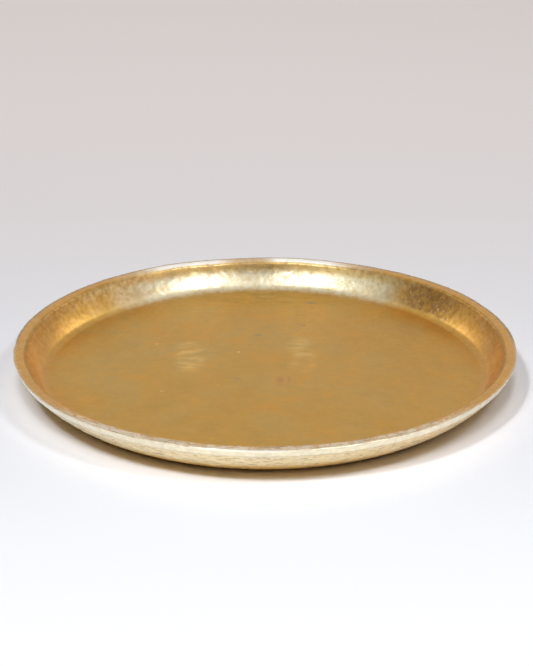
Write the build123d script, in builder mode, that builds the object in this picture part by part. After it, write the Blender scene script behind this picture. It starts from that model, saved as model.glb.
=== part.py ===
from build123d import *
import math
import os

# A shallow round candle plate: one heavy sand casting with a lacquered gold skin,
# standing on four stick-on felt pads.
# Millimetres, +Z up. The origin is on the table, under the middle of the plate,
# and the side that is looked at is the one towards -Y.

# The casting, seen from above
plate_radius = 125.0
rim_land_width = 5.5  # the flat ring round the top
cove_width = 9.0  # the hollow wall, from the land down to the flat floor
wall_flare = 18.5  # how far the rim overhangs the flat underside

# The casting, seen from the side
casting_height = 18.5
floor_thickness = 4.5
cove_hollow = 0.93  # how far the cove dips below a straight slope
wall_bulge = 1.25  # how far the cast wall swells past a straight slope
cove_foot_radius = 6.0  # the soft bend where the cove runs into the floor
rim_inner_round = 2.5
rim_outer_round = 0.9
base_edge_round = 3.0

# The narrow band that was turned smooth under the rim, proud of the raw casting
band_height = 4.3
band_lean = 28.0  # degrees that the band leans in from upright
band_step = 0.5

# The stick-on felt pads
pad_radius = 10.0
felt_thickness = 1.2
adhesive_thickness = 0.3
pad_edge_margin = 8.0  # bare metal between a pad and the edge of the underside
pad_bearings = {
    "front_right": -45.0,
    "back_right": 45.0,
    "back_left": 135.0,
    "front_left": -135.0,
}
felt_edge_round = 0.35

# Places that follow from the sizes above
base_radius = plate_radius - wall_flare
land_inner_radius = plate_radius - rim_land_width
floor_radius = land_inner_radius - cove_width
base_level = felt_thickness + adhesive_thickness
floor_level = base_level + floor_thickness
rim_level = base_level + casting_height
band_foot_level = rim_level - band_height
lean = math.radians(band_lean)
# The rim is rounded, so its sharp corner stands out past the finished radius.
corner_radius = plate_radius + rim_outer_round * ((1 + math.sin(lean)) / math.cos(lean) - 1)
band_foot_radius = corner_radius - band_height * math.tan(lean)
pad_circle_radius = base_radius - pad_edge_margin - pad_radius


def make_plate():
    """The casting, turned round the upright axis from half of its section."""
    axis_foot = (0, base_level)
    base_corner = (base_radius, base_level)
    step_foot = (band_foot_radius - band_step, band_foot_level)
    step_top = (band_foot_radius, band_foot_level)
    rim_corner = (corner_radius, rim_level)
    land_corner = (land_inner_radius, rim_level)
    floor_corner = (floor_radius, floor_level)
    axis_top = (0, floor_level)

    with BuildPart() as plate:
        with BuildSketch(Plane.XZ) as section:
            with BuildLine():
                Line(rim_corner, step_top)
                Line(step_top, step_foot)
                SagittaArc(step_foot, base_corner, wall_bulge)
                Line(base_corner, axis_foot)
                Line(axis_foot, axis_top)
                Line(axis_top, floor_corner)
                SagittaArc(floor_corner, land_corner, -cove_hollow)
                Line(land_corner, rim_corner)
            make_face()
            rounds = (
                (floor_corner, cove_foot_radius),
                (land_corner, rim_inner_round),
                (rim_corner, rim_outer_round),
                (base_corner, base_edge_round),
            )
            for corner, radius in rounds:
                spot = section.vertices().sort_by_distance(corner)[0]
                fillet(spot, radius)
        revolve(axis=Axis.Z)
    plate.part.label = "plate"
    return plate.part


def pad_centre(bearing):
    """Where a pad sits on the underside, at a bearing counted from +X."""
    turn = math.radians(bearing)
    return (pad_circle_radius * math.cos(turn), pad_circle_radius * math.sin(turn))


def make_felt_pad(place, bearing):
    """A round of pressed felt, with its lower edge softened by wear."""
    with BuildPart() as pad:
        with BuildSketch(Plane.XY):
            with Locations(pad_centre(bearing)):
                Circle(pad_radius)
        extrude(amount=felt_thickness)
        fillet(pad.edges().group_by(Axis.Z)[0], felt_edge_round)
    pad.part.label = "felt_pad_" + place
    return pad.part


def make_pad_adhesive(place, bearing):
    """The disc of double-sided film that holds a felt pad to the casting."""
    with BuildPart() as film:
        with BuildSketch(Plane.XY.offset(felt_thickness)):
            with Locations(pad_centre(bearing)):
                Circle(pad_radius)
        extrude(amount=adhesive_thickness)
    film.part.label = "pad_adhesive_" + place
    return film.part


pieces = [make_plate()]
for pad_place, pad_bearing in pad_bearings.items():
    pieces.append(make_felt_pad(pad_place, pad_bearing))
    pieces.append(make_pad_adhesive(pad_place, pad_bearing))

os.makedirs("parts", exist_ok=True)
for piece in pieces:
    export_step(piece, "parts/" + piece.label + ".step")
    print(piece.label, "volume", round(piece.volume, 1), "cubic mm")
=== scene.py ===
# %% [markdown]
# # A cast gold candle plate
#
# The real plate is one heavy sand casting under a warm gold lacquer: a flat ring round the
# top, a hollow wall (the cove) that runs down to a wide flat floor, a narrow band turned
# smooth under the rim, and a rough cast wall that curves under to the base. It stands on
# four stick-on felt pads. Nothing on it moves, so the work is all in its skin.
#
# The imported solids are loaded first. They give every size that must not change, and each
# piece made here stands for one of them or gives it a finish.

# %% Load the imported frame
import math
import bpy
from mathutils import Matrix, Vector


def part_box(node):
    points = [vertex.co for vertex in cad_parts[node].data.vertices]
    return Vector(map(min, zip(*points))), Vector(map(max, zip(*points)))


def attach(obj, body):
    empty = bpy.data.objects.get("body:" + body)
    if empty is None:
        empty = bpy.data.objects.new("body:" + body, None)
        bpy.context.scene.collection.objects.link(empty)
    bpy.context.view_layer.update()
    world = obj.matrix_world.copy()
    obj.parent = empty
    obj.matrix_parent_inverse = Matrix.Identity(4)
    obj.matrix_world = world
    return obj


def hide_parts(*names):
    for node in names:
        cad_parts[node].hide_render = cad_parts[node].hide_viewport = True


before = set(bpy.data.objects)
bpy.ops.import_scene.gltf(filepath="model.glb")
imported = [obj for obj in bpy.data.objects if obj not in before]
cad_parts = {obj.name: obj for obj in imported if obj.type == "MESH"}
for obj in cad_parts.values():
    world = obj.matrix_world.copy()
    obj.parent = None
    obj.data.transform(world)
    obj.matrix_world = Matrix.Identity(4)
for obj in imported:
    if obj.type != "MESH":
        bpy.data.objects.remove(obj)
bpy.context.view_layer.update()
plate_low, plate_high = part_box("plate")
print("solids:", sorted(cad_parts))
print("plate from", [round(c, 4) for c in plate_low], "to", [round(c, 4) for c in plate_high])

# %% [markdown]
# ## The camera
#
# The photograph is a long-lens studio picture, taken from a little above the table. A
# camera can be placed by eye, but the outline of a round rim gives its tilt exactly: the
# ellipse is as flat as the sine of the angle it is seen at. So the tilt, the distance and
# the pixel that the middle of the rim falls on are named, and the place is worked out.

# %% Camera
PHOTO_WIDE = 533
PHOTO_TALL = 666
LENS_MM = 105.0
SENSOR_MM = 36.0
TILT = math.radians(22.16)
RIM_DISTANCE = 0.9690
RIM_CENTRE_PX = (264.9, 342.1)

focal_px = LENS_MM / SENSOR_MM * PHOTO_TALL
ahead = Vector((0, math.cos(TILT), -math.sin(TILT)))
upward = Vector((0, math.sin(TILT), math.cos(TILT)))
rightward = Vector((1, 0, 0))
across = (RIM_CENTRE_PX[0] - PHOTO_WIDE / 2) / focal_px
down = (RIM_CENTRE_PX[1] - PHOTO_TALL / 2) / focal_px
rim_centre = Vector((0, 0, plate_high.z))
camera_place = rim_centre - RIM_DISTANCE * (ahead + across * rightward - down * upward)

bpy.ops.object.camera_add(location=camera_place, rotation=(math.pi / 2 - TILT, 0, 0))
camera = bpy.context.object
camera.name = "photo_camera"
camera.data.lens = LENS_MM
camera.data.sensor_width = SENSOR_MM
camera.data.clip_start = 0.01
bpy.context.scene.camera = camera
print("camera at", [round(c, 3) for c in camera_place])

# %% [markdown]
# ## Helpers
#
# Every finish below is a small tree of shader nodes. Short helpers keep those trees
# readable: one adds a node with its settings and plugs in its inputs, one starts an empty
# material with its output, and one makes a colour ramp. The fourth is for shapes. Most of
# Blender's modelling tools work on whatever is selected, so it selects one piece.

# %% Helpers for shader nodes
def add_node(tree, kind, inputs=None, **settings):
    """One shader node. An input takes a number, a colour or another node's output."""
    node = tree.nodes.new(kind)
    for name, value in settings.items():
        setattr(node, name, value)
    for name, value in (inputs or {}).items():
        if isinstance(value, bpy.types.NodeSocket):
            tree.links.new(value, node.inputs[name])
        else:
            node.inputs[name].default_value = value
    return node


def new_material(name):
    """A material whose tree is empty but for its output, with the tree and that output."""
    material = bpy.data.materials.new(name)
    material.use_nodes = True
    material.node_tree.nodes.clear()
    output = material.node_tree.nodes.new("ShaderNodeOutputMaterial")
    return material, material.node_tree, output


def tone_ramp(tree, value, stops):
    """A ramp from nought to one. Each stop is a place on it with a colour or a number."""
    ramp = tree.nodes.new("ShaderNodeValToRGB")
    tree.links.new(value, ramp.inputs["Fac"])
    elements = ramp.color_ramp.elements
    while len(elements) < len(stops):
        elements.new(0.5)
    for element, (spot, tone) in zip(elements, stops):
        element.position = spot
    for element, (spot, tone) in zip(elements, stops):
        element.color = tone if isinstance(tone, tuple) else (tone, tone, tone, 1)
    return ramp.outputs["Color"]


def show_only(piece):
    """Leaves this piece as the only one selected, and the active one."""
    bpy.ops.object.select_all(action="DESELECT")
    piece.select_set(True)
    bpy.context.view_layer.objects.active = piece


# %% [markdown]
# ## Paper, room and lamps
#
# The plate stands on white paper that runs back into a pale, faintly warm grey, and the way
# the light falls along it is painted into the paper's tones. Metal is only as good as what it
# mirrors, so the surroundings matter as much as the material. What the plate mirrors and what
# lights it are kept apart here.
#
# The world is the room that the metal mirrors, and it casts no light on the paper. It has
# a pale back wall for the even brown-gold of the floor of the plate, a dim left side and a
# lighter right one, soft glows for the golden highlights, and a dark patch behind the
# camera for the dark line high in the cove. Low in front it is bright and warm: the cast
# wall leans over and faces that part, and passes some of it on to the paper, which makes
# the shadow under the rim golden.
#
# The lamps light the paper and the plate: two keys and a broad fill, which the metal
# doesn't see, and two small soft boxes, which it does. Those two make the white highlights
# in the back of the cove.

# %% Helpers for colours and sums
# All three add to the tree that is being built at the time.
def between(value, low, high):
    """A soft step from nought at low to one at high."""
    return add_node(tree, "ShaderNodeMapRange", {
        "Value": value, "From Min": low, "From Max": high,
    }, interpolation_type="SMOOTHSTEP").outputs["Result"]


def tinted(factor, first, second):
    """The first colour where the factor is nought, the second where it is one."""
    return add_node(tree, "ShaderNodeMix", {
        "Factor": factor, "A": first, "B": second,
    }, data_type="RGBA").outputs["Result"]


def calc(operation, first, second=0.0, clamp=False):
    """One sum on two numbers or outputs."""
    node = tree.nodes.new("ShaderNodeMath")
    node.operation = operation
    node.use_clamp = clamp
    for socket, value in enumerate((first, second)):
        if isinstance(value, bpy.types.NodeSocket):
            tree.links.new(value, node.inputs[socket])
        else:
            node.inputs[socket].default_value = value
    return node.outputs["Value"]


# %% Floor
FLOOR_SIZE = 8.0
FLOOR_LEVEL = -0.0001
# How far back from the middle of the plate each tone of the paper lies, in metres. The tones
# are painted light and shade: bright in front, darkest level with the plate and brighter again
# far back, as the light falls.
PAINTED_PAPER_TONES = (
    (-0.26, (0.89, 0.89, 0.90, 1)), (-0.16, (0.85, 0.868, 0.90, 1)),
    (-0.08, (0.79, 0.80, 0.85, 1)), (0.05, (0.75, 0.745, 0.78, 1)),
    (0.14, (0.765, 0.75, 0.77, 1)), (0.26, (0.80, 0.755, 0.76, 1)),
    (0.54, (0.91, 0.84, 0.82, 1)), (0.90, (1.00, 0.92, 0.89, 1)),
)
# The far paper is lifted a little for the camera and for mirrors. It lights nothing.
FAR_START, FAR_END = -0.10, 1.20
FAR_LIFT = (0.066, 0.060, 0.058, 1)

bpy.ops.mesh.primitive_plane_add(size=FLOOR_SIZE, location=(0, 0, FLOOR_LEVEL))
studio_floor = bpy.context.object
studio_floor.name = "studio_floor"
paper, tree, output = new_material("white_paper")
on_paper = add_node(tree, "ShaderNodeTexCoord").outputs["Object"]
back = add_node(tree, "ShaderNodeSeparateXYZ", {"Vector": on_paper}).outputs["Y"]
paper_start, paper_end = PAINTED_PAPER_TONES[0][0], PAINTED_PAPER_TONES[-1][0]
run = add_node(tree, "ShaderNodeMapRange", {
    "Value": back, "From Min": paper_start, "From Max": paper_end,
}).outputs["Result"]
tone = tone_ramp(tree, run, [
    ((spot - paper_start) / (paper_end - paper_start), colour) for spot, colour in PAINTED_PAPER_TONES
])
matt = add_node(tree, "ShaderNodeBsdfDiffuse", {"Color": tone}).outputs["BSDF"]
rays = add_node(tree, "ShaderNodeLightPath").outputs
seen = calc("ADD", rays["Is Camera Ray"], rays["Is Glossy Ray"])
seen = calc("ADD", seen, rays["Is Transmission Ray"], clamp=True)
lift = add_node(tree, "ShaderNodeEmission", {
    "Color": FAR_LIFT, "Strength": calc("MULTIPLY", seen, between(back, FAR_START, FAR_END)),
}).outputs["Emission"]
surface = add_node(tree, "ShaderNodeAddShader", {0: matt, 1: lift}).outputs["Shader"]
tree.links.new(surface, output.inputs["Surface"])
studio_floor.data.materials.append(paper)
print("paper with", len(PAINTED_PAPER_TONES), "tones, from", paper_start, "to", paper_end, "m")

# %% Room: what the metal mirrors
# Every direction is a line of length one. X points right, Y back and Z up.
BACK_WALL = (0.64, 0.595, 0.575, 1)
LEFT_SIDE = (0.32, 0.30, 0.28, 1)
RIGHT_SIDE = (0.80, 0.78, 0.76, 1)
CEILING = (0.75, 0.75, 0.73, 1)
LOW_FRONT = (3.80, 3.40, 2.90, 1)
LOW_RIGHT = (5.60, 4.60, 3.30, 1)
# Where each part of the room starts and where it is whole.
TO_RIGHT_SIDE = (-0.6, 0.6)
TO_CEILING = (0.60, 0.95)
TO_BACK_WALL = (0.15, 0.60)
LOW_FRONT_Y = (-0.20, -0.70)
LOW_FRONT_Z = (0.24, 0.08)
LOW_FRONT_X = (-0.75, -0.15)
TO_LOW_RIGHT = (0.0, 0.55)
# The way to each glow, the cosines of its edge and of its full part, and its colour.
SOFT_SHAPES = (
    ((-0.45, -0.60, 0.66), 0.80, 0.93, (0.78, 0.80, 0.74, 1)),
    ((0.45, -0.60, 0.66), 0.80, 0.93, (0.48, 0.46, 0.42, 1)),
    ((0.08, -0.90, 0.43), 0.86, 0.97, (0.16, 0.14, 0.11, 1)),
    ((0.70, 0.52, 0.49), 0.970, 0.993, (2.10, 2.00, 1.75, 1)),
    ((-0.68, 0.58, 0.46), 0.974, 0.994, (2.20, 2.00, 1.70, 1)),
    ((0.33, -0.08, 0.93), 0.965, 0.995, (0.95, 0.97, 0.93, 1)),
    ((-0.20, -0.16, 0.97), 0.965, 0.995, (0.95, 0.97, 0.93, 1)),
)

studio = bpy.data.worlds.new("studio_room")
bpy.context.scene.world = studio
studio.use_nodes = True
tree = studio.node_tree
tree.nodes.clear()
output = tree.nodes.new("ShaderNodeOutputWorld")
way = add_node(tree, "ShaderNodeTexCoord").outputs["Generated"]
to = add_node(tree, "ShaderNodeSeparateXYZ", {"Vector": way}).outputs
room = tinted(between(to["X"], *TO_RIGHT_SIDE), LEFT_SIDE, RIGHT_SIDE)
room = tinted(between(to["Z"], *TO_CEILING), room, CEILING)
room = tinted(between(to["Y"], *TO_BACK_WALL), room, BACK_WALL)
for towards, edge, full, tone in SOFT_SHAPES:
    facing = add_node(tree, "ShaderNodeVectorMath", {
        0: way, 1: Vector(towards).normalized(),
    }, operation="DOT_PRODUCT").outputs["Value"]
    room = tinted(between(facing, edge, full), room, tone)
low_front = calc("MULTIPLY", between(to["Y"], *LOW_FRONT_Y), between(to["Z"], *LOW_FRONT_Z))
low_front = calc("MULTIPLY", low_front, between(to["X"], *LOW_FRONT_X))
low_tone = tinted(between(to["X"], *TO_LOW_RIGHT), LOW_FRONT, LOW_RIGHT)
room = tinted(low_front, room, low_tone)
backdrop = add_node(tree, "ShaderNodeBackground", {"Color": room}).outputs["Background"]
tree.links.new(backdrop, output.inputs["Surface"])
studio.cycles_visibility.diffuse = False
print("room with", len(SOFT_SHAPES), "soft shapes in it")

# %% Lamps
# Every lamp faces the middle of the rim. Its name is followed by the way to it, how far it
# is and how wide, in metres, its watts, and whether metal mirrors it.
LAMPS = (
    ("soft_box_right", (0.440, -0.410, 0.800), 1.15, 0.20, 3.2, True),
    ("soft_box_left", (-0.300, -0.500, 0.812), 1.15, 0.17, 2.8, True),
    ("key_at_the_left", (-0.330, -0.480, 0.813), 6.0, 0.6, 110.0, False),
    ("key_over_the_camera", (-0.020, -0.560, 0.828), 6.0, 0.9, 85.0, False),
    ("fill_over_the_camera", (0.0, -0.480, 0.877), 6.0, 2.4, 86.0, False),
)
for name, way, distance, size, watts, mirrored in LAMPS:
    way = Vector(way).normalized()
    bpy.ops.object.light_add(type="AREA", location=rim_centre + way * distance)
    lamp = bpy.context.object
    lamp.name = name
    lamp.data.shape = "DISK"
    lamp.data.size = size
    lamp.data.energy = watts
    lamp.visible_glossy = mirrored
    lamp.rotation_euler = way.to_track_quat("Z", "Y").to_euler()
print("lamps:", len(LAMPS))

# %% [markdown]
# ## The casting: draw half of its section
#
# A round casting can be built from a circle that is extruded and scaled many times, or by
# drawing half of its section once and spinning it. Spinning is how the pattern for the
# mould was turned in the first place, and it leaves one clean line to shape. A small plane
# is merged into a single vertex, and that vertex is pulled from point to point: out along
# the floor, up the cove, over the rim, down the band and the cast wall, and back under the
# base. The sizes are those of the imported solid, less what the relief may add at the rim.

# %% Sizes of the section
RIM_WAVE = 0.00055  # how far the rim of a hand-made casting strays from a true circle
RIM_DIP = 0.0004  # and from level
LAND_WIDTH = 0.0055
COVE_WIDTH = 0.0090
COVE_HOLLOW = 0.00093
WALL_FLARE = 0.0185
WALL_BULGE = 0.00125
FLOOR_THICKNESS = 0.0045
BAND_HEIGHT = 0.0043
BAND_LEAN = math.radians(28)
BAND_STEP = 0.0005
FOOT_ROUND = 0.0060
RIM_INNER_ROUND = 0.0025
RIM_OUTER_ROUND = 0.0009
BASE_ROUND = 0.0030

rim_radius = plate_high.x - RIM_WAVE
rim_level = plate_high.z - RIM_DIP
base_level = plate_low.z
floor_level = base_level + FLOOR_THICKNESS
land_radius = rim_radius - LAND_WIDTH
floor_radius = land_radius - COVE_WIDTH
base_radius = rim_radius - WALL_FLARE
corner_spare = RIM_OUTER_ROUND * ((1 + math.sin(BAND_LEAN)) / math.cos(BAND_LEAN) - 1)
corner_radius = rim_radius + corner_spare
band_foot = Vector((corner_radius - BAND_HEIGHT * math.tan(BAND_LEAN), rim_level - BAND_HEIGHT))
print("radii of the floor, land and rim in mm:",
      [round(radius * 1000, 2) for radius in (floor_radius, land_radius, rim_radius)])


# %% Lines and arcs of the section
def line(start, end, steps):
    """Evenly spaced points from start to end, start left out."""
    start, end = Vector(start), Vector(end)
    return [start.lerp(end, step / steps) for step in range(1, steps + 1)]


def arc(start, end, swell, steps):
    """Points on a round arc, start left out, that swells by that much to the left of the line."""
    start, end = Vector(start), Vector(end)
    along = (end - start).normalized()
    left = Vector((-along.y, along.x))
    half_chord = (end - start).length / 2
    half_turn = 2 * math.atan2(swell, half_chord)
    radius = half_chord / math.sin(half_turn)
    centre = (start + end) / 2 - left * radius * math.cos(half_turn)
    points = []
    for step in range(1, steps + 1):
        turn = half_turn * (1 - 2 * step / steps)
        points.append(centre + radius * (left * math.cos(turn) - along * math.sin(turn)))
    return points


floor_middle = Vector((0, floor_level))
floor_edge = Vector((floor_radius, floor_level))
land_corner = Vector((land_radius, rim_level))
rim_corner = Vector((corner_radius, rim_level))
step_corner = band_foot - Vector((BAND_STEP, 0))
base_corner = Vector((base_radius, base_level))
base_middle = Vector((0, base_level))

# A corner, the radius it is rounded to, how far the line turns there, and the segments.
CORNERS = (
    (floor_edge, FOOT_ROUND, math.radians(47), 10),
    (land_corner, RIM_INNER_ROUND, math.radians(68), 7),
    (rim_corner, RIM_OUTER_ROUND, math.radians(62), 4),
    (base_corner, BASE_ROUND, math.radians(27), 3),
)
# The floor is drawn more finely from this part of its radius outwards.
FINE_FROM = 0.92
# The last number of each line and arc is how many steps it is drawn with.
section = line(floor_middle, floor_middle.lerp(floor_edge, FINE_FROM), 8)
section += line(section[-1], floor_edge, 5)
section += arc(floor_edge, land_corner, -COVE_HOLLOW, 25)
section += line(land_corner, rim_corner, 5)
section += line(rim_corner, band_foot, 5)
section += line(band_foot, step_corner, 1)
section += arc(step_corner, base_corner, WALL_BULGE, 27)
section += line(base_corner, base_middle, 8)


SAME_SPOT = 0.000001
ROOM_TO_ROUND = 1.05


def clear_of_corners(point):
    """Whether a point is a corner itself, or far enough from all corners to keep."""
    for corner, radius, turn, segments in CORNERS:
        apart = (point - corner).length
        if SAME_SPOT < apart < radius * math.tan(turn / 2) * ROOM_TO_ROUND:
            return False
    return True


section = [point for point in section if clear_of_corners(point)]
print("section drawn with", len(section), "points")


# %% Pull a vertex along the section
def draw_line(name, start, points):
    """A chain of edges in the XZ plane, pulled from a single vertex."""
    bpy.ops.mesh.primitive_plane_add(size=0.01, location=(0, 0, 0))
    piece = bpy.context.object
    piece.name = name
    bpy.ops.object.mode_set(mode="EDIT")
    bpy.ops.mesh.select_mode(type="VERT")
    bpy.ops.mesh.merge(type="CENTER")
    bpy.ops.transform.translate(value=(start.x, 0, start.y))
    here = start
    for point in points:
        step = point - here
        bpy.ops.mesh.extrude_vertices_move(
            TRANSFORM_OT_translate={"value": (step.x, 0, step.y)}
        )
        here = point
    bpy.ops.object.mode_set(mode="OBJECT")
    return piece


bpy.ops.object.select_all(action="DESELECT")
plate = draw_line("gold_plate", floor_middle, section)
print("vertices pulled:", len(plate.data.vertices))


# %% Round the corners
def near(vertex, point, reach):
    """Whether a vertex of the section lies within reach of a point of it."""
    return (Vector((vertex.co.x, vertex.co.z)) - point).length < reach


def pick(piece, test):
    """Selects in edit mode the vertices that pass a test, and leaves the piece there."""
    bpy.ops.object.mode_set(mode="OBJECT")
    show_only(piece)
    bpy.ops.object.mode_set(mode="EDIT")
    bpy.ops.mesh.select_mode(type="VERT")
    bpy.ops.mesh.select_all(action="DESELECT")
    bpy.ops.object.mode_set(mode="OBJECT")
    count = 0
    for vertex in piece.data.vertices:
        vertex.select = test(vertex)
        count += vertex.select
    bpy.ops.object.mode_set(mode="EDIT")
    return count


TOUCH = 0.00005
for corner, radius, turn, segments in CORNERS:
    found = pick(plate, lambda vertex: near(vertex, corner, TOUCH))
    bpy.ops.mesh.bevel(
        affect="VERTICES", offset=radius * math.tan(turn / 2), segments=segments, profile=0.5
    )
    print("corner at", [round(c, 4) for c in corner], "picked", found)

bpy.ops.object.mode_set(mode="OBJECT")
print("vertices now:", len(plate.data.vertices))

# %% [markdown]
# ## Measure along the section
#
# Each band of the casting has its own finish, and the finishes have to follow the shape.
# So before it is spun, every vertex of the section is told how far along the line it lies.
# Spinning copies that number all round, and both the relief and the material read it.

# %% Store the distance along the section
def measure_along(piece, start):
    """Walks the chain from the vertex nearest start, and stores each one's distance."""
    mesh = piece.data
    beside = {vertex.index: [] for vertex in mesh.vertices}
    for edge in mesh.edges:
        first, second = edge.vertices
        beside[first].append(second)
        beside[second].append(first)
    ends = [index for index, others in beside.items() if len(others) == 1]
    here = min(ends, key=lambda i: (mesh.vertices[i].co - start).length)
    along = {here: 0.0}
    while True:
        onward = [index for index in beside[here] if index not in along]
        if not onward:
            break
        step = (mesh.vertices[onward[0]].co - mesh.vertices[here].co).length
        along[onward[0]] = along[here] + step
        here = onward[0]
    layer = mesh.attributes.new("along", "FLOAT", "POINT")
    layer.data.foreach_set("value", [along[vertex.index] for vertex in mesh.vertices])
    return along


distances = measure_along(plate, Vector((0, 0, floor_level)))


def mark(point):
    """How far along the section the vertex nearest to this point lies."""
    spots = plate.data.vertices
    nearest = min(distances, key=lambda i: (Vector((spots[i].co.x, spots[i].co.z)) - point).length)
    return distances[nearest]


FLOOR_END = mark(floor_edge)
COVE_END = mark(land_corner)
LAND_END = mark(rim_corner)
BAND_END = mark(band_foot)
WALL_END = mark(base_corner)
SECTION_END = max(distances.values())
print("marks in mm:", [round(m * 1000, 1) for m in
                       (FLOOR_END, COVE_END, LAND_END, BAND_END, WALL_END, SECTION_END)])

# %% Turn the section into the casting
SEGMENTS = 960
WELD = 0.000001

show_only(plate)
bpy.ops.object.modifier_add(type="SCREW")
turning = plate.modifiers[-1]
turning.axis = "Z"
turning.angle = 2 * math.pi
turning.steps = SEGMENTS
turning.render_steps = SEGMENTS
turning.use_merge_vertices = True
turning.merge_threshold = WELD
bpy.ops.object.modifier_apply(modifier=turning.name)
bpy.ops.object.mode_set(mode="EDIT")
bpy.ops.mesh.select_all(action="SELECT")
bpy.ops.mesh.remove_doubles(threshold=WELD)
bpy.ops.mesh.normals_make_consistent(inside=False)
bpy.ops.mesh.faces_shade_smooth()
bpy.ops.object.mode_set(mode="OBJECT")
print("faces:", len(plate.data.polygons), "vertices:", len(plate.data.vertices))

# %% [markdown]
# ## Relief that changes the shape
#
# Sand leaves a casting a little out of true. Its rim wanders by a few tenths of a
# millimetre, its wall is lumpy, and the cove keeps the marks of the small hammer that
# dressed it. A Displace modifier with a noise texture gives each of these, and a vertex
# group says where it works and how strongly. A few knocks in the rim are then pushed in one
# by one, with soft selection. What is finer than about two millimetres is left to the
# material.

# %% Weights along the section
def weigh(piece, name, stops):
    """A vertex group whose weight follows a line through stops of (place along, weight)."""
    group = piece.vertex_groups.new(name=name)
    spots = [0.0] * len(piece.data.vertices)
    piece.data.attributes["along"].data.foreach_get("value", spots)
    by_weight = {}
    for index, spot in enumerate(spots):
        weight = stops[0][1] if spot <= stops[0][0] else stops[-1][1]
        for (low, first), (high, second) in zip(stops, stops[1:]):
            if low < spot <= high:
                weight = first + (second - first) * (spot - low) / (high - low)
        by_weight.setdefault(round(weight, 4), []).append(index)
    for weight, indices in by_weight.items():
        group.add(indices, weight, "REPLACE")
    return group.name


COVE_MIDDLE = (FLOOR_END + COVE_END) / 2
WALL_MIDDLE = (BAND_END + WALL_END) / 2
rim_weight = weigh(plate, "rim", [
    (FLOOR_END, 0), (COVE_MIDDLE, 0.5), (COVE_END, 1), (BAND_END, 1), (WALL_END - 0.003, 0),
])
cove_weight = weigh(plate, "cove", [
    (FLOOR_END - 0.003, 0), (FLOOR_END + 0.003, 1), (COVE_END - 0.002, 1), (COVE_END, 0.3),
    (LAND_END, 0.2), (LAND_END + 0.001, 0),
])
wall_weight = weigh(plate, "wall", [
    (LAND_END - 0.001, 0.0), (LAND_END + 0.0015, 0.35), (BAND_END - 0.0005, 0.35),
    (BAND_END + 0.001, 1), (WALL_END - 0.004, 1), (WALL_END - 0.0005, 0),
])
print("weights:", [group.name for group in plate.vertex_groups])


# %% Displace
def roughen(piece, name, kind, size, depth, weights, way="NORMAL", middle=0.5, octaves=2):
    """Moves the surface by a noise texture of this size and depth, then fixes the result."""
    texture = bpy.data.textures.new(name, kind)
    texture.noise_scale = size
    if kind == "CLOUDS":
        texture.noise_depth = octaves
        texture.cloud_type = "COLOR" if way == "RGB_TO_XYZ" else "GRAYSCALE"
    show_only(piece)
    bpy.ops.object.modifier_add(type="DISPLACE")
    relief = piece.modifiers[-1]
    relief.texture = texture
    relief.texture_coords = "LOCAL"
    relief.direction = way
    relief.mid_level = middle
    relief.strength = depth
    relief.vertex_group = weights
    bpy.ops.object.modifier_apply(modifier=relief.name)


# The numbers are the size of a lump and how far it moves the surface, in metres.
roughen(plate, "rim_wander", "CLOUDS", 0.065, 0.0011, rim_weight, way="RGB_TO_XYZ", octaves=1)
roughen(plate, "rim_ripple", "CLOUDS", 0.011, 0.00025, rim_weight, way="RGB_TO_XYZ", octaves=2)
roughen(plate, "hammer_marks", "VORONOI", 0.0026, 0.00007, cove_weight, middle=0.4)
roughen(plate, "cast_lumps", "CLOUDS", 0.0034, 0.00040, wall_weight, octaves=2)
xs = [vertex.co.x for vertex in plate.data.vertices]
zs = [vertex.co.z for vertex in plate.data.vertices]
print("plate now spans", [round(c, 5) for c in (min(xs), max(xs), min(zs), max(zs))])

# %% Knocks in the rim
# Where each knock is, as a bearing in degrees from +X, and how deep it goes.
KNOCKS = ((181.0, 0.00035), (196.0, 0.00030), (24.0, 0.00022), (284.0, 0.00018), (262.0, 0.00014))
KNOCK_REACH = 0.0065
KNOCK_INSET = 0.001  # how far inside the corner of the rim it strikes
KNOCK_SINK = 0.6  # how much it pushes down for each part that it pushes in


def knock(piece, bearing_of, depth):
    """Pushes one rim vertex inward, and its neighbours with it by soft selection."""
    turn = math.radians(bearing_of)
    out = Vector((math.cos(turn), math.sin(turn), 0))
    target = out * (corner_radius - KNOCK_INSET) + Vector((0, 0, rim_level))
    nearest = min(piece.data.vertices, key=lambda vertex: (vertex.co - target).length)
    chosen = nearest.index
    pick(piece, lambda vertex: vertex.index == chosen)
    push = out * -depth
    bpy.ops.transform.translate(
        value=(push.x, push.y, -depth * KNOCK_SINK), use_proportional_edit=True,
        proportional_edit_falloff="SMOOTH", proportional_size=KNOCK_REACH,
    )
    bpy.ops.object.mode_set(mode="OBJECT")


for bearing_of, depth in KNOCKS:
    knock(plate, bearing_of, depth)
print("knocks:", len(KNOCKS))

# %% [markdown]
# ## The gold finish
#
# The metal is one alloy under one lacquer, yet it looks different from band to band: deep
# gold and satin on the floor, crinkled in the cove, orange and grainy on the land, pale as
# champagne where it was turned, and matt and pitted on the cast wall. Separate materials
# would show seams, so one material follows the number stored along the section. Colour
# ramps read it for the colour, the gloss and the depth of each pattern. Some wear, and the
# painted highlights and shade, lie on one side of the plate only, and for that the material
# also knows the bearing from the middle: east is 1 at the right and -1 at the left, north
# is 1 at the back.

# %% Where a pattern lies on the casting
RING_RADIUS = 0.12

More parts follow.
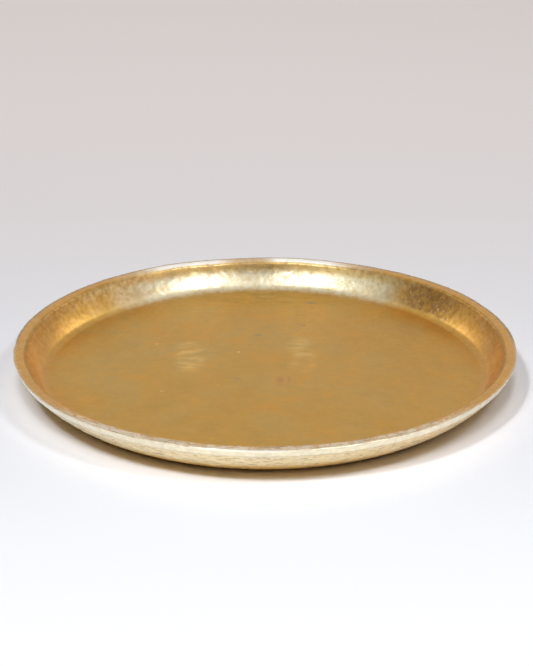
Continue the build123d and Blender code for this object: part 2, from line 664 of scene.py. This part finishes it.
gold, tree, output = new_material("antique_gold")
place = add_node(tree, "ShaderNodeTexCoord").outputs["Object"]
along = add_node(tree, "ShaderNodeAttribute", attribute_name="along").outputs["Fac"]
section_part = calc("DIVIDE", along, SECTION_END)
spread = add_node(tree, "ShaderNodeSeparateXYZ", {"Vector": place})
flat = add_node(tree, "ShaderNodeCombineXYZ", {
    "X": spread.outputs["X"], "Y": spread.outputs["Y"],
}).outputs["Vector"]
outward = add_node(tree, "ShaderNodeVectorMath", {0: flat}, operation="NORMALIZE").outputs["Vector"]
bearing = add_node(tree, "ShaderNodeSeparateXYZ", {"Vector": outward})
east, north = bearing.outputs["X"], bearing.outputs["Y"]
ring = add_node(tree, "ShaderNodeVectorMath", {0: outward, "Scale": RING_RADIUS}, operation="SCALE")
ring = add_node(tree, "ShaderNodeSeparateXYZ", {"Vector": ring.outputs["Vector"]})
round_rim = add_node(tree, "ShaderNodeCombineXYZ", {
    "X": ring.outputs["X"], "Y": ring.outputs["Y"], "Z": along,
}).outputs["Vector"]
print("nodes that say where a point is:", len(tree.nodes))


# %% Helpers for patterns and masks
def by_zone(stops):
    """A colour or a number for each place along the section, given in metres."""
    return tone_ramp(tree, section_part, [(spot / SECTION_END, tone) for spot, tone in stops])


def noise(size, where=place, stretch=(1, 1, 1), octaves=2.0, roughness=0.5):
    """Cloudy noise from nought to one, with lumps of about this size in metres."""
    scale = tuple(1 / (size * part) for part in stretch)
    sized = add_node(tree, "ShaderNodeMapping", {"Vector": where, "Scale": scale})
    return add_node(tree, "ShaderNodeTexNoise", {
        "Vector": sized.outputs["Vector"], "Scale": 1.0, "Detail": octaves,
        "Roughness": roughness,
    }).outputs["Fac"]


def step(value, low, high):
    """Nought at low, one at high, straight between them and level beyond."""
    return add_node(tree, "ShaderNodeMapRange", {
        "Value": value, "From Min": low, "From Max": high,
    }).outputs["Result"]


def times(*parts):
    """The product of several numbers or outputs."""
    product = parts[0]
    for part in parts[1:]:
        product = calc("MULTIPLY", product, part)
    return product


def strip(start, whole_from, whole_to, end):
    """One on a strip of the section and nought off it, soft at both edges."""
    return times(between(along, start, whole_from), between(along, end, whole_to))


# %% [markdown]
# ### Patterns
#
# A real casting shows lumps of every size at once, from grains of sand to broad clouds in
# the lacquer. So there is one noise texture for each size, and they are used again and
# again below. The streaks and pits follow the ring: they are stretched round the rim and
# squeezed along the section, as the turning tool and the flow of the metal left them.

# %% Patterns
# Their first number is the size of a lump in metres.
grain = noise(0.0009, octaves=3.0)
flecking = noise(0.0017, octaves=2.0)
crinkle = noise(0.0027, octaves=2.0)
scales = noise(0.0030, octaves=2.0)
ripple = noise(0.0070, octaves=2.0)
patches = noise(0.014, octaves=3.0)
clouds = noise(0.034, octaves=3.0, roughness=0.55)
brush = noise(0.0055, stretch=(2.6, 0.8, 1.0), octaves=3.0, roughness=0.6)
streak_across = noise(0.012, stretch=(3.0, 1.2, 1.0), octaves=2.0)
streaks = noise(0.0011, where=round_rim, stretch=(9, 9, 0.45), octaves=3.0, roughness=0.6)
pits = noise(0.0013, where=round_rim, stretch=(3.2, 3.2, 0.55), octaves=3.0, roughness=0.65)
print("nodes with the patterns:", len(tree.nodes))

# %% [markdown]
# ### Colour, band by band
#
# The lacquer is deepest on the floor and turns orange just before the cove. The turned
# band is pale. The cast wall is pale at the top and a warmer gold where it curves under.

# %% Colour of each band
DEEP_GOLD = (0.700, 0.410, 0.064, 1)
OLIVE_GOLD = (0.670, 0.430, 0.098, 1)
ORANGE_GOLD = (0.720, 0.380, 0.048, 1)
COVE_FOOT = (0.750, 0.465, 0.105, 1)
COVE_GOLD = (0.740, 0.420, 0.080, 1)
LAND_GOLD = (0.760, 0.420, 0.085, 1)
LIP_PALE = (0.740, 0.670, 0.530, 1)
CHAMPAGNE = (0.820, 0.755, 0.560, 1)
WALL_GOLD = (0.865, 0.725, 0.425, 1)
FOOT_GOLD = (0.960, 0.580, 0.140, 1)
DULL_GOLD = (0.920, 0.560, 0.150, 1)
BAND_COLOURS = (
    (0.0, DEEP_GOLD), (FLOOR_END - 0.012, DEEP_GOLD), (FLOOR_END - 0.002, ORANGE_GOLD),
    (FLOOR_END + 0.002, COVE_FOOT), (FLOOR_END + 0.0055, COVE_GOLD), (COVE_END, COVE_GOLD),
    (COVE_END + 0.0015, LAND_GOLD), (LAND_END - 0.0010, LAND_GOLD), (LAND_END, LIP_PALE),
    (LAND_END + 0.0012, CHAMPAGNE), (BAND_END - 0.0004, CHAMPAGNE), (BAND_END + 0.0006, WALL_GOLD),
    (WALL_MIDDLE - 0.002, WALL_GOLD), (WALL_END - 0.006, FOOT_GOLD), (WALL_END, DULL_GOLD),
    (SECTION_END, DULL_GOLD),
)
colour = by_zone(BAND_COLOURS)
on_floor = between(along, FLOOR_END + 0.001, FLOOR_END - 0.003)
colour = tinted(times(on_floor, step(clouds, 0.42, 0.62)), colour, OLIVE_GOLD)
colour = tinted(times(on_floor, step(patches, 0.55, 0.72), 0.6), colour, ORANGE_GOLD)
print("colours along the section:", len(BAND_COLOURS))

# %% [markdown]
# ### Painted highlight and shade in the cove
#
# The back of the cove is painted pale as a highlight where the soft boxes shine, and painted
# brown shade lies in the hollows to its left and right. A mask for that is a product: a
# sector of the plate, times a strip of the section, times a pattern. The edge of a sector is
# moved about by noise, so that it never looks ruled.

# %% Sectors of the back
EDGE_WANDER = 0.22
wander = times(calc("SUBTRACT", patches, 0.5), EDGE_WANDER)
at_back = between(north, -0.10, 0.10)


def sector(west_edge, east_edge, soft=0.08):
    """The part of the back between two values of east, with soft and wandering edges."""
    wavy = calc("ADD", east, wander)
    part = times(between(wavy, west_edge - soft, west_edge + soft),
                 between(wavy, east_edge + soft, east_edge - soft))
    return times(part, at_back)


print("the edges of a sector wander by up to", EDGE_WANDER / 2)

# %% The painted highlight in the cove
PAINTED_HIGHLIGHT_PALE = (0.785, 0.708, 0.515, 1)
COVE_OLIVE = (0.660, 0.460, 0.180, 1)
COVE_RUN = COVE_END - FLOOR_END
RAGGED_FOOT = 0.006

fading = calc("ADD", along, times(calc("SUBTRACT", crinkle, 0.5), RAGGED_FOOT))
up_cove = times(between(fading, FLOOR_END - 0.0055, FLOOR_END + 0.0030),
                between(along, COVE_END - 0.0002, COVE_END - 0.0016))
cove_top = strip(COVE_END - COVE_RUN * 0.42, COVE_END - COVE_RUN * 0.16,
                 COVE_END - 0.0004, COVE_END + 0.0004)
# Painted highlight: the back of the cove is painted pale where the soft boxes shine, and olive
# towards its top and in scales.
painted_highlight_part = times(up_cove, sector(-0.66, 0.58, soft=0.16))
colour = tinted(painted_highlight_part, colour, PAINTED_HIGHLIGHT_PALE)
colour = tinted(times(cove_top, sector(-0.80, 0.62)), colour, COVE_OLIVE)
print("the cove is", round(COVE_RUN * 1000, 1), "mm long along the section")

# %% Painted brown shade beside it, and painted orange reflections on the flanks
PAINTED_SHADE_BROWN = (0.420, 0.205, 0.080, 1)
FLECK_GOLD = (0.900, 0.680, 0.340, 1)
PAINTED_REFLECTION_ORANGE = (0.600, 0.300, 0.040, 1)

# Painted shade: brown scales darken the cove to the right and the left of the highlight, with golden
# flecks on the right.
painted_shade_right = times(sector(0.66, 0.85, soft=0.05), step(scales, 0.62, 0.42),
                    between(along, FLOOR_END + 0.0005, FLOOR_END + 0.0035))
painted_shade_left = times(sector(-0.97, -0.48, soft=0.10), step(scales, 0.64, 0.38),
                   between(along, FLOOR_END + 0.0010, FLOOR_END + 0.0055))
upper_cove = times(between(along, COVE_MIDDLE, COVE_END - 0.0020), 0.32)
painted_shade_left = times(painted_shade_left, calc("ADD", upper_cove, 0.30))
painted_shade_part = calc("ADD", times(painted_shade_right, 0.75), painted_shade_left)
colour = tinted(times(painted_shade_part, up_cove), colour, PAINTED_SHADE_BROWN)
colour = tinted(times(painted_shade_right, up_cove, step(flecking, 0.56, 0.66)), colour, FLECK_GOLD)
colour = tinted(times(painted_highlight_part, step(scales, 0.52, 0.36), 0.40), colour, COVE_OLIVE)
# Painted reflection: the far left and right of the cove are orange, as the gold mirrors gold.
painted_reflection_flank = times(between(calc("ABSOLUTE", east), 0.86, 0.97),
              strip(FLOOR_END - 0.0035, FLOOR_END + 0.0030, COVE_END - 0.0008, COVE_END + 0.0004))
colour = tinted(times(painted_reflection_flank, 0.7), colour, PAINTED_REFLECTION_ORANGE)
print("nodes with the cove:", len(tree.nodes))

# %% [markdown]
# ### Wear and painted highlights on the land and the lip
#
# The flat land round the top takes the most knocks. At the back two lengths of it are
# painted white as highlights, with a paler painted cream glow between them. A thin brown
# line runs along both its edges, and along the inner edge it is painted shade, kept off the
# highlights. At the front its outer half is cream with brown scratches, and the lip has one
# painted white highlight.

# %% The land at the back
EDGE_SHADE_AND_SCRATCH_BROWN = (0.300, 0.170, 0.050, 1)
PAINTED_HIGHLIGHT_WHITE = (1.000, 0.990, 0.930, 1)
CREAM_GLOW_AND_WEAR = (0.970, 0.860, 0.640, 1)

on_land = strip(COVE_END - 0.0004, COVE_END + 0.0008, LAND_END - 0.0002, LAND_END + 0.0006)
# Painted shade: a brown line along the inner edge of the land, thinner under the highlights.
inner_edge_shade = strip(COVE_END - 0.0018, COVE_END - 0.0006, COVE_END + 0.0002, COVE_END + 0.0012)
outer_line = times(strip(LAND_END - 0.0019, LAND_END - 0.0009, LAND_END + 0.0006, LAND_END + 0.0012),
                   at_back)
off_line = calc("SUBTRACT", 1.0, outer_line)
scratchy = step(streaks, 0.30, 0.55)
# Painted highlights: two lengths at the back are painted white, with a cream glow painted across the
# back.
land_highlight_sectors = calc("ADD", times(sector(-0.52, -0.15, soft=0.08), 0.95),
                 sector(0.04, 0.35, soft=0.06), clamp=True)
inner_edge_shade = times(inner_edge_shade, calc("SUBTRACT", 0.55, land_highlight_sectors, clamp=True))
colour = tinted(inner_edge_shade, colour, EDGE_SHADE_AND_SCRATCH_BROWN)
colour = tinted(times(outer_line, 0.60), colour, EDGE_SHADE_AND_SCRATCH_BROWN)
painted_land_highlight = times(land_highlight_sectors, off_line, on_land, calc("ADD", times(scratchy, 0.3), 0.7))
painted_land_glow = times(sector(-0.62, 0.44, soft=0.12), on_land,
                   calc("ADD", times(scratchy, 0.35), 0.30), off_line)
colour = tinted(painted_land_glow, colour, CREAM_GLOW_AND_WEAR)
colour = tinted(painted_land_highlight, colour, PAINTED_HIGHLIGHT_WHITE)
print("nodes with the back of the land:", len(tree.nodes))

# %% The land and the lip at the front, and painted amber shade on the right of the wall
PAINTED_SHADE_AMBER = (0.920, 0.660, 0.310, 1)

outer_land = between(along, LAND_END - 0.0050, LAND_END - 0.0026)
worn_scales = times(calc("ADD", step(scales, 0.40, 0.60), 0.5), outer_land)
worn_front = calc("MULTIPLY", times(on_land, between(north, -0.55, -0.90)), worn_scales, clamp=True)
colour = tinted(worn_front, colour, CREAM_GLOW_AND_WEAR)
scratches = times(on_land, between(north, -0.40, -0.75), step(streaks, 0.46, 0.38))
colour = tinted(times(scratches, 0.70), colour, EDGE_SHADE_AND_SCRATCH_BROWN)
on_lip = strip(LAND_END - 0.0016, LAND_END - 0.0004, LAND_END + 0.0008, LAND_END + 0.0016)
ragged = calc("ADD", east, times(calc("SUBTRACT", streaks, 0.5), 0.25))
# Painted highlight: one length of the lip at the front is painted white.
painted_lip_highlight = times(between(ragged, -0.34, -0.16), between(ragged, 0.14, 0.02),
                  between(north, -0.40, -0.80))
colour = tinted(times(painted_lip_highlight, on_lip, 0.62), colour, PAINTED_HIGHLIGHT_WHITE)
outside = step(along, BAND_END - 0.0008, BAND_END)
# Painted shade: the cast wall is painted a warmer amber towards the right, the side in shade.
colour = tinted(times(outside, between(east, 0.05, 0.80), 0.75), colour, PAINTED_SHADE_AMBER)
print("nodes with the front of the land:", len(tree.nodes))

# %% [markdown]
# ### Marks on the floor of the plate
#
# The floor was brushed from side to side, so its streaks lie across. Two places are painted
# bright as reflections of the highlights in the cove, a broad band at the back is painted
# darker as shade, and there are small stains, specks and a reddish pair of smears. Each mark
# is a line in one table: an oval with a ragged edge, a colour and a strength. A Mapping node
# set to Texture puts the middle and the size in one node.

# %% Streaks, painted reflections and shade, and stains
REFLECTION_AND_SPECK_GOLD = (0.900, 0.640, 0.200, 1)
PAINTED_SHADE_GOLD = (0.600, 0.360, 0.046, 1)
GREY_STAIN = (0.360, 0.290, 0.180, 1)
REDDISH = (0.620, 0.280, 0.080, 1)
# The middle in millimetres, half the width, half the depth, the colour and the strength.
# The first two marks are painted reflections of the cove's highlights, and the third is painted
# shade. The rest are specks, stains and smears.
MARKS = (
    (-38.2, 17.0, 10.0, 30.0, REFLECTION_AND_SPECK_GOLD, 0.46), (18.9, 17.0, 10.0, 30.0, REFLECTION_AND_SPECK_GOLD, 0.40),
    (0.0, 96.0, 60.0, 16.0, PAINTED_SHADE_GOLD, 0.7), (-13.5, 20.6, 1.3, 1.6, REFLECTION_AND_SPECK_GOLD, 0.9),
    (-55.8, 31.3, 1.4, 1.5, REFLECTION_AND_SPECK_GOLD, 0.8), (-50.2, -28.6, 1.5, 1.5, REFLECTION_AND_SPECK_GOLD, 0.7),
    (-23.0, -21.3, 1.2, 1.4, REFLECTION_AND_SPECK_GOLD, 0.8), (-13.8, -13.9, 3.0, 2.6, GREY_STAIN, 0.35),
    (-3.6, 43.6, 2.6, 2.4, GREY_STAIN, 0.40), (20.1, 57.6, 2.2, 2.2, GREY_STAIN, 0.35),
    (25.0, 89.7, 4.0, 1.6, GREY_STAIN, 0.60), (36.4, 86.7, 3.4, 1.5, GREY_STAIN, 0.55),
    (7.5, -16.4, 3.0, 9.0, REDDISH, 0.45), (12.0, -14.0, 1.6, 6.0, REDDISH, 0.40),
    (58.0, 30.0, 2.0, 2.4, GREY_STAIN, 0.25),
)
MILLIMETRE = 0.001
RAGGED_EDGE = 0.9

brushed = calc("ADD", times(step(brush, 0.40, 0.62), 1.35), 0.20)
to_right = between(spread.outputs["X"], -0.060, 0.110)
colour = tinted(times(on_floor, to_right, 0.35), colour, ORANGE_GOLD)
colour = tinted(times(on_floor, step(streak_across, 0.52, 0.74), 0.40), colour, ORANGE_GOLD)
raggedness = times(calc("SUBTRACT", streak_across, 0.5), RAGGED_EDGE)
for x, y, half_wide, half_deep, mark_colour, strength in MARKS:
    nearer = add_node(tree, "ShaderNodeMapping", {
        "Vector": flat, "Location": (x * MILLIMETRE, y * MILLIMETRE, 0),
        "Scale": (half_wide * MILLIMETRE, half_deep * MILLIMETRE, 1),
    }, vector_type="TEXTURE")
    reach = add_node(tree, "ShaderNodeVectorMath", {0: nearer.outputs["Vector"]}, operation="LENGTH")
    reach = calc("ADD", reach.outputs["Value"], raggedness)
    spot = times(between(reach, 1.0, 0.35), times(brushed, strength))
    colour = tinted(times(spot, on_floor), colour, mark_colour)
print("marks on the floor of the plate:", len(MARKS))

# %% [markdown]
# ### Dark holes and rubbed high spots
#
# Old lacquer is dark in the holes and bright on what stands out. The amount of each follows
# the section: next to nothing on the smooth floor, and most on the cast wall, where the
# holes are pits. Their share is less towards the front of the cove, which is cleaner.

# %% Lighter and darker spots
BROWN = (0.230, 0.120, 0.040, 1)
RUBBED = (0.930, 0.860, 0.680, 1)

shade = calc("ADD", times(patches, 0.20), 0.90)
shade = times(shade, calc("ADD", times(ripple, 0.10), 0.95))
colour = add_node(tree, "ShaderNodeVectorMath", {0: colour, "Scale": shade},
                  operation="SCALE").outputs["Vector"]
brown_amount = by_zone((
    (0.0, 0.02), (FLOOR_END - 0.004, 0.05), (FLOOR_END + 0.004, 0.22), (COVE_END - 0.002, 0.36),
    (COVE_END - 0.0002, 0.45), (COVE_END + 0.0008, 0.08), (LAND_END, 0.08),
    (BAND_END - 0.0003, 0.20), (BAND_END, 0.60), (BAND_END + 0.0006, 0.75),
    (WALL_MIDDLE, 0.65), (WALL_END, 0.2), (SECTION_END, 0.1),
))
crinkle_holes = step(crinkle, 0.52, 0.34)
pit_holes = times(step(pits, 0.43, 0.34), outside)
holes = calc("ADD", times(crinkle_holes, calc("SUBTRACT", 1.0, outside)), pit_holes, clamp=True)
calm = calc("ADD", times(between(north, 0.05, 0.55), 0.65), 0.35)
calm = calc("MAXIMUM", calm, outside)
colour = tinted(times(holes, calm, brown_amount), colour, BROWN)
rubbed_amount = by_zone((
    (0.0, 0.01), (FLOOR_END, 0.03), (FLOOR_END + 0.005, 0.08), (COVE_END - 0.002, 0.10),
    (LAND_END - 0.001, 0.10), (LAND_END, 0.6), (BAND_END, 0.4),
    (WALL_MIDDLE, 0.4), (WALL_END, 0.1), (SECTION_END, 0.02),
))
colour = tinted(times(step(crinkle, 0.50, 0.66), rubbed_amount), colour, RUBBED)
print("nodes with the holes:", len(tree.nodes))

# %% [markdown]
# ### Relief and gloss
#
# What is finer than the displaced mesh is bump. Each pattern has its own depth along the
# section, in millimetres, so that one Bump node serves all. The gloss follows the same
# bands. The cast wall is the exception: its skin is so matt and pitted that it is mostly
# painted, not metal, and where the land is painted white as a highlight it is not metal
# either, so that the white shows.

# %% Relief
# How deep each pattern is at each place along the section, in millimetres.
RELIEF = (
    (grain, (
        (0.0, 0.003), (FLOOR_END - 0.004, 0.004), (FLOOR_END, 0.01), (FLOOR_END + 0.004, 0.020),
        (LAND_END - 0.001, 0.020), (LAND_END, 0.015), (BAND_END, 0.02), (BAND_END + 0.001, 0.06),
        (WALL_END, 0.05), (SECTION_END, 0.03),
    )),
    (crinkle, (
        (0.0, 0.004), (FLOOR_END - 0.006, 0.006), (FLOOR_END, 0.03), (FLOOR_END + 0.004, 0.070),
        (COVE_END - 0.001, 0.070), (COVE_END, 0.03), (LAND_END, 0.02), (LAND_END + 0.0005, 0.01),
        (BAND_END, 0.02), (BAND_END + 0.001, 0.10), (WALL_END, 0.06), (SECTION_END, 0.04),
    )),
    (ripple, (
        (0.0, 0.05), (FLOOR_END - 0.006, 0.05), (FLOOR_END, 0.09), (COVE_END, 0.16),
        (LAND_END, 0.05), (BAND_END, 0.02), (BAND_END + 0.001, 0.1), (SECTION_END, 0.05),
    )),
    (streaks, (
        (0.0, 0.0), (LAND_END, 0.0), (LAND_END + 0.0005, 0.03), (BAND_END, 0.03),
        (BAND_END + 0.001, 0.10), (WALL_END - 0.002, 0.06), (WALL_END, 0.0), (SECTION_END, 0.0),
    )),
)
PIT_DEPTH = 0.08

height = times(pit_holes, -PIT_DEPTH)
for pattern, depths in RELIEF:
    height = calc("ADD", height, times(pattern, by_zone(depths)))
relief = add_node(tree, "ShaderNodeBump", {
    "Height": height, "Strength": 1.0, "Distance": MILLIMETRE,
}).outputs["Normal"]
print("patterns in the relief:", len(RELIEF))

# %% Gloss
COAT_ROUGHNESS = 0.16
roughness = by_zone((
    (0.0, 0.34), (FLOOR_END - 0.004, 0.36), (FLOOR_END + 0.003, 0.32), (COVE_END - 0.002, 0.30),
    (COVE_END, 0.46), (COVE_END + 0.001, 0.42), (LAND_END - 0.001, 0.40), (LAND_END, 0.30),
    (BAND_END, 0.42), (BAND_END + 0.001, 0.72), (WALL_END, 0.60), (SECTION_END, 0.60),
))
roughness = calc("ADD", roughness, times(calc("SUBTRACT", patches, 0.5), 0.15))
roughness = calc("ADD", roughness, times(holes, brown_amount, 0.30), clamp=True)
lacquer = by_zone((
    (0.0, 0.15), (FLOOR_END - 0.004, 0.15), (FLOOR_END + 0.003, 0.3), (COVE_END - 0.002, 0.35),
    (COVE_END, 0.1), (COVE_END + 0.001, 0.25), (LAND_END - 0.001, 0.25), (LAND_END, 1.0),
    (BAND_END, 1.0), (WALL_END - 0.003, 0.8), (WALL_END, 0.2), (SECTION_END, 0.2),
))
lacquer = calc("ADD", lacquer, times(painted_highlight_part, 0.5), clamp=True)
metal_share = by_zone((
    (0.0, 1.0), (BAND_END - 0.0005, 1.0), (BAND_END + 0.001, 0.45), (WALL_END - 0.008, 0.25),
    (WALL_END - 0.002, 0.15), (WALL_END + 0.006, 0.20), (SECTION_END, 0.40),
))
# The painted highlight on the land is made mostly not metal, so that its white shows.
metal_share = calc("SUBTRACT", metal_share, times(painted_land_highlight, 0.95), clamp=True)
skin = add_node(tree, "ShaderNodeBsdfPrincipled", {
    "Base Color": colour, "Metallic": metal_share, "Roughness": roughness, "Normal": relief,
    "Coat Weight": lacquer, "Coat Roughness": COAT_ROUGHNESS, "Coat Normal": relief,
})
tree.links.new(skin.outputs["BSDF"], output.inputs["Surface"])
plate.data.materials.append(gold)
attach(plate, "root")
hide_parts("plate")
print("nodes in the gold finish:", len(tree.nodes))

# %% [markdown]
# ## Felt pads and their adhesive
#
# A heavy plate would scratch a table, so round felt pads are stuck under it. Pads like these
# are punched out of a sheet of pressed felt, with a film of adhesive on one side. The punch
# leaves a clean upper edge, and standing on the table rounds the lower one. A pad is made
# from a cylinder: its flat ends are inset into rings, the lower edge is bevelled, and a
# little noise pushes the fibres inward, so that the pad never grows past its real size.

# %% Shape a felt pad
PAD_PLACES = ("front_right", "back_right", "back_left", "front_left")
PAD_SIDES = 128
EDGE_ROUND = 0.00035
EDGE_SEGMENTS = 4
RING_STEP = 0.0011
RINGS = 7
NAP_SIZE = 0.0009
NAP_DEPTH = 0.00016


def make_pad(place):
    """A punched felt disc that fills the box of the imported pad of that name."""
    low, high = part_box("felt_pad_" + place)
    middle = (Vector(low) + Vector(high)) / 2
    pad_radius = (high[0] - low[0]) / 2
    bpy.ops.object.select_all(action="DESELECT")
    bpy.ops.mesh.primitive_cylinder_add(
        vertices=PAD_SIDES, radius=pad_radius, depth=high[2] - low[2], location=middle
    )
    bpy.ops.object.transform_apply(location=True, rotation=True, scale=True)
    pad = bpy.context.object
    pad.name = "pressed_felt_" + place
    for level in (low[2], high[2]):
        pick(pad, lambda vertex: abs(vertex.co.z - level) < TOUCH)
        for ring_number in range(RINGS):
            bpy.ops.mesh.inset(thickness=RING_STEP)

    def on_lower_edge(vertex):
        from_middle = (vertex.co - middle).to_2d().length
        return abs(vertex.co.z - low[2]) < TOUCH and from_middle > pad_radius - TOUCH

    pick(pad, on_lower_edge)
    bpy.ops.mesh.bevel(affect="EDGES", offset=EDGE_ROUND, segments=EDGE_SEGMENTS, profile=0.5)
    bpy.ops.mesh.select_all(action="SELECT")
    bpy.ops.mesh.subdivide(number_cuts=1)
    bpy.ops.mesh.normals_make_consistent(inside=False)
    bpy.ops.mesh.faces_shade_smooth()
    bpy.ops.object.mode_set(mode="OBJECT")
    fibres = pad.vertex_groups.new(name="fibres")
    fibres.add([vertex.index for vertex in pad.data.vertices], 1.0, "REPLACE")
    roughen(pad, "felt_nap_" + place, "CLOUDS", NAP_SIZE, NAP_DEPTH, "fibres", middle=1.0, octaves=2)
    return pad


pads = {place: make_pad(place) for place in PAD_PLACES}
print("pads:", len(pads), "faces each:", len(pads["front_right"].data.polygons))

# %% [markdown]
# ### The look of felt
#
# Pressed felt has no weave: its fibres lie in every direction and catch each other. Two
# noises are stretched into fibres that cross, and the higher of the two wins at each
# point, as a fibre on top does. A broader noise mottles them, and sheen gives the pale edge
# of a fuzzy cloth.

# %% Felt
FELT_DARK = (0.085, 0.070, 0.055, 1)
FELT_LIGHT = (0.240, 0.205, 0.165, 1)
FIBRE_WIDE = 0.00022
FELT_RELIEF = 0.00018

felt, tree, output = new_material("grey_brown_felt")
here = add_node(tree, "ShaderNodeTexCoord").outputs["Object"]
mottle = noise(0.0016, where=here, octaves=3.0)
fibre_one = noise(FIBRE_WIDE, where=here, stretch=(7, 1, 1), octaves=2.0)
fibre_two = noise(FIBRE_WIDE, where=here, stretch=(1, 6, 1), octaves=2.0)
fibre = calc("MAXIMUM", fibre_one, fibre_two)
felt_colour = tinted(calc("ADD", times(mottle, 0.5), times(fibre, 0.5)), FELT_DARK, FELT_LIGHT)
nap = add_node(tree, "ShaderNodeBump", {
    "Height": calc("ADD", fibre, mottle), "Strength": 1.0, "Distance": FELT_RELIEF,
}).outputs["Normal"]
cloth = add_node(tree, "ShaderNodeBsdfPrincipled", {
    "Base Color": felt_colour, "Roughness": step(mottle, -1.5, 0.55), "Normal": nap,
    "Sheen Weight": 0.35, "Sheen Roughness": 0.5,
})
tree.links.new(cloth.outputs["BSDF"], output.inputs["Surface"])
for place, pad in pads.items():
    pad.data.materials.append(felt)
    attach(pad, "root")
    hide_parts("felt_pad_" + place)
print("nodes in the felt:", len(tree.nodes))

# %% [markdown]
# ## The adhesive film
#
# The film is only three tenths of a millimetre thick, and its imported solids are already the
# right shape. They need only a finish: amber and a little cloudy, with the fine crazing that
# the glue gets when it is pressed against rough metal.

# %% Adhesive
FILM_AMBER = (0.560, 0.400, 0.190, 1)
FILM_PALE = (0.760, 0.640, 0.420, 1)
CRAZING_SCALE = 900.0  # cells in a metre
FILM_RELIEF = 0.00005

film, tree, output = new_material("adhesive_film")
here = add_node(tree, "ShaderNodeTexCoord").outputs["Object"]
cloudy = noise(0.0030, where=here, octaves=3.0)
crazing = add_node(tree, "ShaderNodeTexVoronoi", {"Vector": here, "Scale": CRAZING_SCALE},
                   feature="DISTANCE_TO_EDGE").outputs["Distance"]
cracks = step(crazing, 0.10, 0.0)
film_colour = tinted(cloudy, FILM_AMBER, FILM_PALE)
film_colour = tinted(times(cracks, 0.35), film_colour, FILM_PALE)
film_bump = add_node(tree, "ShaderNodeBump", {
    "Height": crazing, "Strength": 0.5, "Distance": FILM_RELIEF,
}).outputs["Normal"]
glue = add_node(tree, "ShaderNodeBsdfPrincipled", {
    "Base Color": film_colour, "Roughness": calc("ADD", times(cloudy, 0.3), 0.25),
    "Normal": film_bump,
})
tree.links.new(glue.outputs["BSDF"], output.inputs["Surface"])
for place in PAD_PLACES:
    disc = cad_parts["pad_adhesive_" + place]
    for material_slot in disc.material_slots:
        material_slot.material = film
print("nodes in the film:", len(tree.nodes))

# %% [markdown]
# ## Finish
#
# Relief and knocks must not make the plate larger than the imported solid. The picture is
# shown with the Standard view, which leaves the colours as they are.

# %% Finish
bpy.context.scene.view_settings.view_transform = "Standard"
